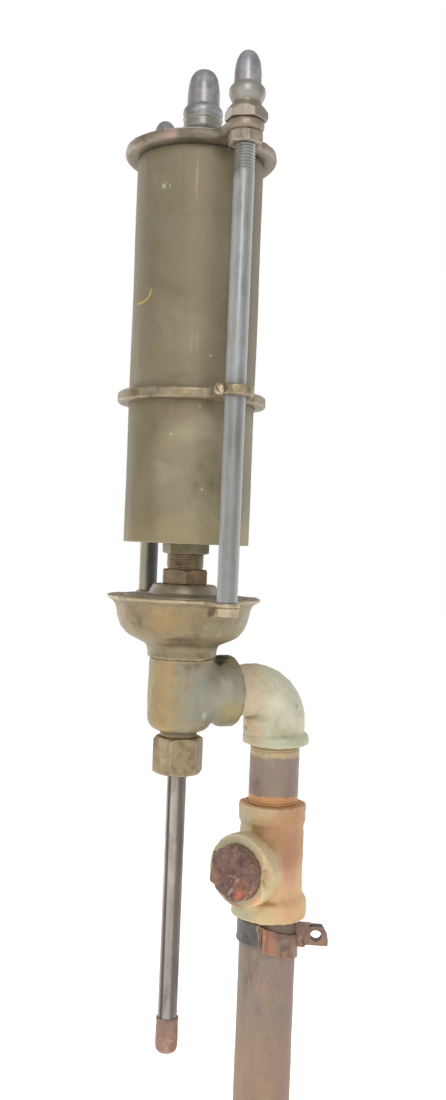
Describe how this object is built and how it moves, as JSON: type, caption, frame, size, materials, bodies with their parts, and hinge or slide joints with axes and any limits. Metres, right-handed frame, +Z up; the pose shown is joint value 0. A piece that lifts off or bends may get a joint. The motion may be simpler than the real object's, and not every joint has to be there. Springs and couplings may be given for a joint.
{
  "type": "variable-pitch steam whistle",
  "caption": "Upright brass steam whistle: long open-mouthed bell over a bowl, tie rods with acorn nuts, sliding piston on a pull rod, and side-fed iron inlet piping.",
  "frame": {"origin": "centre of the lower, threaded end of the supply pipe", "axes": "+Z up along the supply pipe and the whistle, +X from the whistle's axis to the supply pipe, tie rods at -Y and +Y of the whistle"},
  "size_m": [0.2005, 0.1978, 0.9082],
  "materials": {
    "bell_brass": "olive-brown patina, satin",
    "cast_brass": "cast, golden-olive patina",
    "acorn_brass": "turned and polished, dulled",
    "nut_brass": "machined, brown patina",
    "rod_steel": "drawn, grey-green tarnish",
    "screw_steel": "bright, worn",
    "piston_steel": "drawn, dull grey-brown",
    "galvanised_iron": "galvanised, weathered with pale green bloom",
    "stained_iron": "galvanised, rust-stained",
    "pipe_steel": "mill scale with rust streaks",
    "rusty_iron": "heavily rusted",
    "clamp_dark": "dark, worn",
    "clamp_copper": "copper-brown rust film",
    "leather": "oiled",
    "packing": "graphited braid",
    "gasket": "pressed sheet"
  },
  "bodies": {
    "root": {"bell_tube": "bell_brass", "bell_gasket": "gasket", "bell_cap": "cast_brass", "rod_acorns": "acorn_brass", "centre_acorn": "acorn_brass", "centre_stud": "rod_steel", "tie_rods": "rod_steel", "lug_nuts": "nut_brass", "bowl_lug_nuts": "nut_brass", "bell_ring": "cast_brass", "ring_set_screws": "screw_steel", "whistle_bowl": "cast_brass", "languid_plate": "cast_brass", "gland_body": "nut_brass", "upper_packing": "packing", "gland_nut": "nut_brass", "upper_gland_ring": "nut_brass", "whistle_body": "cast_brass", "lower_packing": "packing", "lower_gland_ring": "nut_brass", "packing_nut": "nut_brass", "pipe_elbow": "galvanised_iron", "pipe_nipple": "pipe_steel", "pipe_tee": "stained_iron", "tee_plug": "rusty_iron", "supply_pipe": "pipe_steel", "clamp_band": "clamp_dark", "clamp_front": "clamp_copper"},
    "piston": {"piston_rod": "piston_steel", "piston_head": "nut_brass", "piston_cup": "leather", "piston_plate": "nut_brass", "piston_nut": "nut_brass", "rod_end_cap": "rusty_iron"}
  },
  "joints": [
    {"name": "piston_slide", "type": "slide", "parent": "root", "child": "piston", "axis": [0, 0, 1], "range_m": [0, 0.195]}
  ]
}
